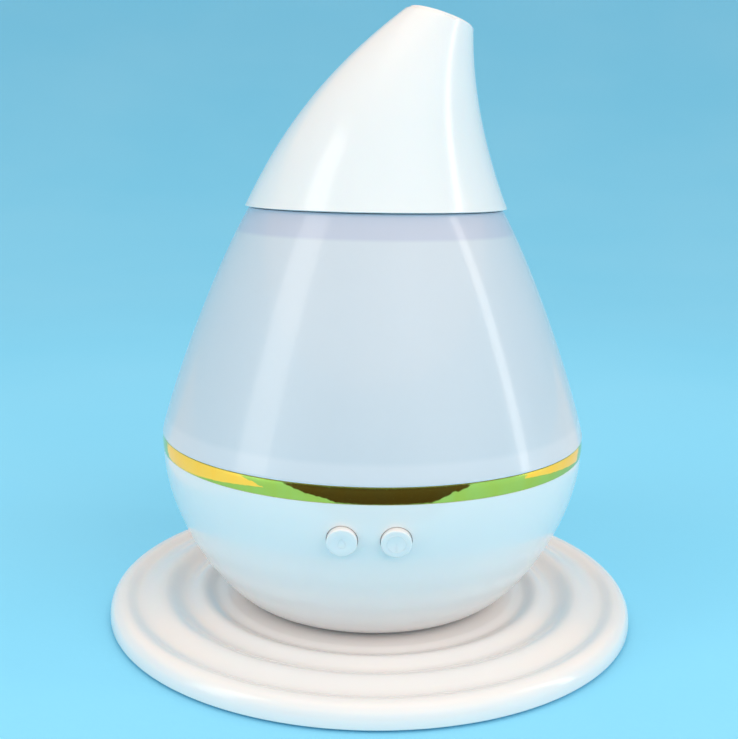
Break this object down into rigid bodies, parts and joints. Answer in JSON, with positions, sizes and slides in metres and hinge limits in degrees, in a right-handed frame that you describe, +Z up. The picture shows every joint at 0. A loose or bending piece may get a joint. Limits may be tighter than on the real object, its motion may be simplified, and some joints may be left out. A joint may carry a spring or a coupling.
{
  "type": "cool mist humidifier",
  "caption": "Drop-shaped tabletop cool mist humidifier: rippled foot plate, bowl base with push buttons, metal-look ring, frosted cover and a turning bent nozzle.",
  "frame": {"origin": "bottom centre: the axis of the round foot plate, at the surface the rubber feet stand on", "axes": "+Z up, the two buttons on the -Y side, the nozzle leaning towards +X"},
  "size_m": [0.17, 0.17, 0.1907],
  "materials": {
    "white_gloss": "glossy white moulded plastic",
    "frosted": "frosted translucent moulded plastic",
    "gold": "mirror plated, warm gold",
    "clear_bowl": "translucent polypropylene",
    "white_matt": "plain white moulded plastic",
    "black_plastic": "black moulded plastic",
    "rubber_grey": "soft grey rubber",
    "rubber_black": "black rubber",
    "silicone": "milky silicone",
    "steel": "zinc-plated steel",
    "aluminium": "extruded aluminium",
    "brass": "plain brass",
    "copper": "enamelled copper",
    "nickel": "nickel plate",
    "ceramic": "fired ceramic",
    "board": "glass-epoxy board, green resist",
    "lamp_lens": "clear epoxy",
    "filter_foam": "open foam"
  },
  "bodies": {
    "base": {"wave_plate": "white_gloss", "rubber_feet": "rubber_grey", "case_screws": "steel", "base_shell": "white_gloss", "intake_filter": "filter_foam", "gold_ring": "gold", "rim_gasket": "silicone", "basin": "clear_bowl", "chimney": "white_matt", "chimney_seal": "silicone", "chimney_nut": "white_matt", "duct_hood": "white_matt", "air_duct": "white_matt", "fan_frame": "black_plastic", "fan_stator": "copper", "fan_screws": "steel", "disc_seal": "silicone", "vibrating_disc": "nickel", "disc_ceramic": "ceramic", "disc_holder": "steel", "disc_screws": "steel", "main_board": "board", "heat_sink": "aluminium", "board_parts": "black_plastic", "board_plugs": "white_matt", "board_screws": "steel", "key_board": "board", "key_screws": "steel", "mist_switch": "black_plastic", "light_switch": "black_plastic", "led_board": "board", "led_lamps": "lamp_lens", "led_screws": "steel", "power_inlet": "black_plastic", "inlet_contact": "nickel", "inlet_nut": "nickel", "inlet_lead": "rubber_black", "disc_lead": "rubber_black", "fan_lead": "rubber_black", "led_lead": "rubber_black", "key_lead": "rubber_black"},
    "fan": {"fan_rotor": "black_plastic", "fan_shaft": "steel"},
    "mist_key": {"mist_button": "white_gloss", "mist_plunger": "black_plastic"},
    "light_key": {"light_button": "white_gloss", "light_plunger": "black_plastic"},
    "cover": {"cover": "frosted"},
    "seal_ring": {"collar_seal": "silicone"},
    "nozzle": {"nozzle_shell": "white_gloss", "nozzle_collar": "white_matt"}
  },
  "joints": [
    {"name": "fan_spin", "type": "hinge", "parent": "base", "child": "fan", "pos_m": [0, 0.0255, 0.0135], "axis": [0, 0, 1], "continuous": true},
    {"name": "mist_press", "type": "slide", "parent": "base", "child": "mist_key", "axis": [0, 1, 0], "range_m": [0, 0.0006], "stiffness_N_per_m": 2000},
    {"name": "light_press", "type": "slide", "parent": "base", "child": "light_key", "axis": [0, 1, 0], "range_m": [0, 0.0006], "stiffness_N_per_m": 2000},
    {"name": "cover_lift", "type": "slide", "parent": "base", "child": "cover", "axis": [0, 0, 1], "range_m": [0, 0.06]},
    {"name": "nozzle_lift", "type": "slide", "parent": "cover", "child": "seal_ring", "axis": [0, 0, 1], "range_m": [0, 0.03]},
    {"name": "nozzle_turn", "type": "hinge", "parent": "seal_ring", "child": "nozzle", "pos_m": [0, 0, 0.1304], "axis": [0, 0, 1], "continuous": true}
  ]
}
